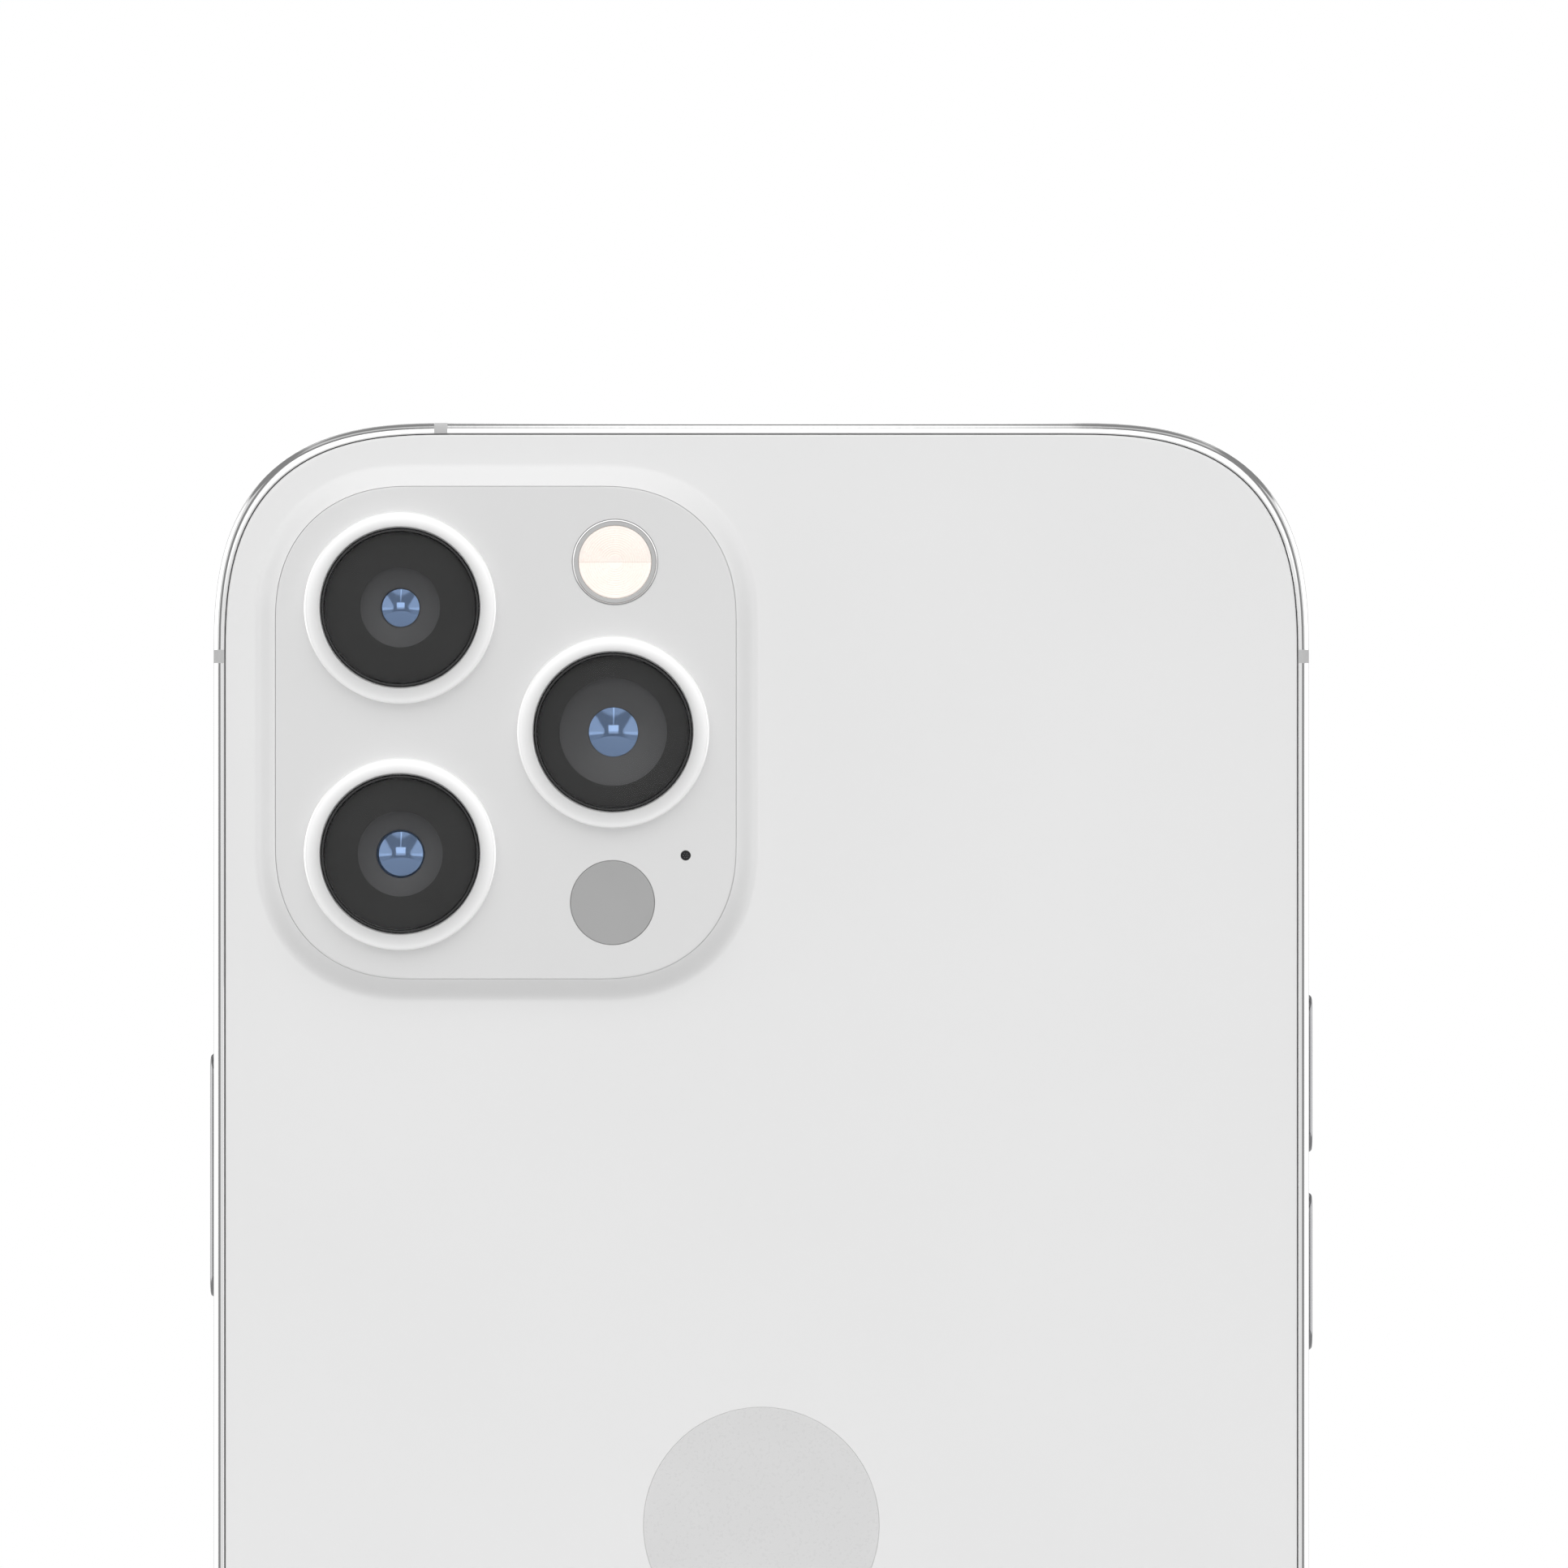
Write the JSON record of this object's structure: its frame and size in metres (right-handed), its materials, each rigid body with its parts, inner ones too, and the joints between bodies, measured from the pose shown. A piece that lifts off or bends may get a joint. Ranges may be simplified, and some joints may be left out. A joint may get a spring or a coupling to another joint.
{
  "type": "smartphone",
  "caption": "Flat-sided smartphone with a steel frame, white glass back, raised rear camera deck, side keys and a card tray.",
  "frame": {"origin": "mouth of the charging port: the centre of the bottom edge, half way through the thickness", "axes": "+Z from the bottom edge to the top edge, +Y towards the screen, +X to the right seen from behind"},
  "size_m": [0.0788, 0.0101, 0.1608],
  "materials": {
    "frame_steel": "polished stainless steel rail with fine reflections along its eased edges",
    "break_plastic": "matt grey moulded plastic",
    "plate_aluminium": "plain rolled aluminium",
    "frosted_back_glass": "opaque white glass with a fine frosted face",
    "inlay_grey": "satin light grey",
    "ring_steel": "bright satin ring with a soft roll at its edge",
    "cover_glass": "clear sapphire-like cover",
    "lens_black": "black plastic with a fine tooled front",
    "lens_glass": "coated lens with a blue reflection",
    "module_plastic": "black moulded housing",
    "pressed_steel": "pressed sheet with a light grain",
    "flash_diffuser": "warm white moulded diffuser with fine rings",
    "board_green": "solder mask over copper tracks",
    "sensor_grey": "smooth grey infrared window",
    "mesh_black": "black woven mesh",
    "display_black_glass": "black glass with a polished face",
    "panel_plastic": "unlit display laminate",
    "battery_wrap": "black foil wrap",
    "coil_copper": "wound copper wire under clear film",
    "magnet_nickel": "nickel-plated magnets",
    "tongue_plastic": "black insulator with plated contacts",
    "tungsten": "dull sintered metal",
    "button_steel": "polished steel that matches the rails",
    "card_plastic": "card plastic with a gold contact pad",
    "lever_brass": "stamped brass",
    "flex_plastic": "amber polyimide film with metal domes",
    "screw_steel": "bright machined steel"
  },
  "bodies": {
    "body": {"left_rail": "frame_steel", "right_rail": "frame_steel", "top_band": "frame_steel", "top_left_corner": "frame_steel", "bottom_band": "frame_steel", "bottom_right_corner": "frame_steel", "antenna_breaks": "break_plastic", "midplate": "plate_aluminium", "back_glass": "frosted_back_glass", "camera_deck": "frosted_back_glass", "back_inlay": "inlay_grey", "tele_ring": "ring_steel", "wide_ring": "ring_steel", "ultrawide_ring": "ring_steel", "tele_cover_glass": "cover_glass", "wide_cover_glass": "cover_glass", "ultrawide_cover_glass": "cover_glass", "ultrawide_barrel": "lens_black", "ultrawide_front_lens": "lens_glass", "tele_module": "module_plastic", "wide_module": "module_plastic", "ultrawide_module": "module_plastic", "camera_bracket": "pressed_steel", "flash_bezel": "ring_steel", "flash_lens": "flash_diffuser", "flash_board": "board_green", "depth_window": "sensor_grey", "depth_module": "module_plastic", "rear_mic_mesh": "mesh_black", "display_glass": "display_black_glass", "display_panel": "panel_plastic", "earpiece_mesh": "mesh_black", "earpiece_speaker": "module_plastic", "front_camera": "module_plastic", "face_sensor_module": "module_plastic", "battery": "battery_wrap", "logic_board": "board_green", "board_shields": "pressed_steel", "charge_coil": "coil_copper", "magnet_ring": "magnet_nickel", "port_shell": "pressed_steel", "port_tongue": "tongue_plastic", "speaker_module": "module_plastic", "haptic_housing": "pressed_steel", "sim_reader": "pressed_steel", "button_switches": "flex_plastic", "screws": "screw_steel"},
    "side_button": {"side_button": "button_steel"},
    "volume_up_button": {"volume_up_button": "button_steel"},
    "volume_down_button": {"volume_down_button": "button_steel"},
    "mute_switch": {"mute_switch": "button_steel"},
    "sim_tray": {"sim_tray": "button_steel", "sim_card": "card_plastic"},
    "eject_rod": {"eject_rod": "pressed_steel"},
    "eject_lever": {"eject_lever": "lever_brass"},
    "tele_focus": {"tele_barrel": "lens_black", "tele_front_lens": "lens_glass"},
    "wide_focus": {"wide_barrel": "lens_black", "wide_front_lens": "lens_glass"},
    "haptic_mass": {"haptic_mass": "tungsten"}
  },
  "joints": [
    {"name": "side_button_press", "type": "slide", "parent": "body", "child": "side_button", "axis": [1, 0, 0], "range_m": [0, 0.00025], "stiffness_N_per_m": 2000},
    {"name": "volume_up_press", "type": "slide", "parent": "body", "child": "volume_up_button", "axis": [-1, 0, 0], "range_m": [0, 0.00025], "stiffness_N_per_m": 2000},
    {"name": "volume_down_press", "type": "slide", "parent": "body", "child": "volume_down_button", "axis": [-1, 0, 0], "range_m": [0, 0.00025], "stiffness_N_per_m": 2000},
    {"name": "mute_slide", "type": "slide", "parent": "body", "child": "mute_switch", "axis": [0, -1, 0], "range_m": [0, 0.0013]},
    {"name": "tray_slide", "type": "slide", "parent": "body", "child": "sim_tray", "axis": [1, 0, 0], "range_m": [0, 0.016]},
    {"name": "eject_rod_slide", "type": "slide", "parent": "body", "child": "eject_rod", "axis": [-1, 0, 0], "range_m": [0, 0.0012]},
    {"name": "eject_lever_hinge", "type": "hinge", "parent": "body", "child": "eject_lever", "pos_m": [0.0214, 0, 0.065], "axis": [0, 1, 0], "range_deg": [0, 21]},
    {"name": "tele_focus_slide", "type": "slide", "parent": "body", "child": "tele_focus", "axis": [0, -1, 0], "range_m": [0, 0.0003], "stiffness_N_per_m": 200},
    {"name": "wide_focus_slide", "type": "slide", "parent": "body", "child": "wide_focus", "axis": [0, -1, 0], "range_m": [0, 0.0003], "stiffness_N_per_m": 200},
    {"name": "haptic_slide", "type": "slide", "parent": "body", "child": "haptic_mass", "axis": [1, 0, 0], "range_m": [-0.0005, 0.0005], "stiffness_N_per_m": 4000}
  ],
  "couplings": [
    {"joint": "eject_lever_hinge", "follows": "eject_rod_slide", "rad_per_m": 290}
  ]
}
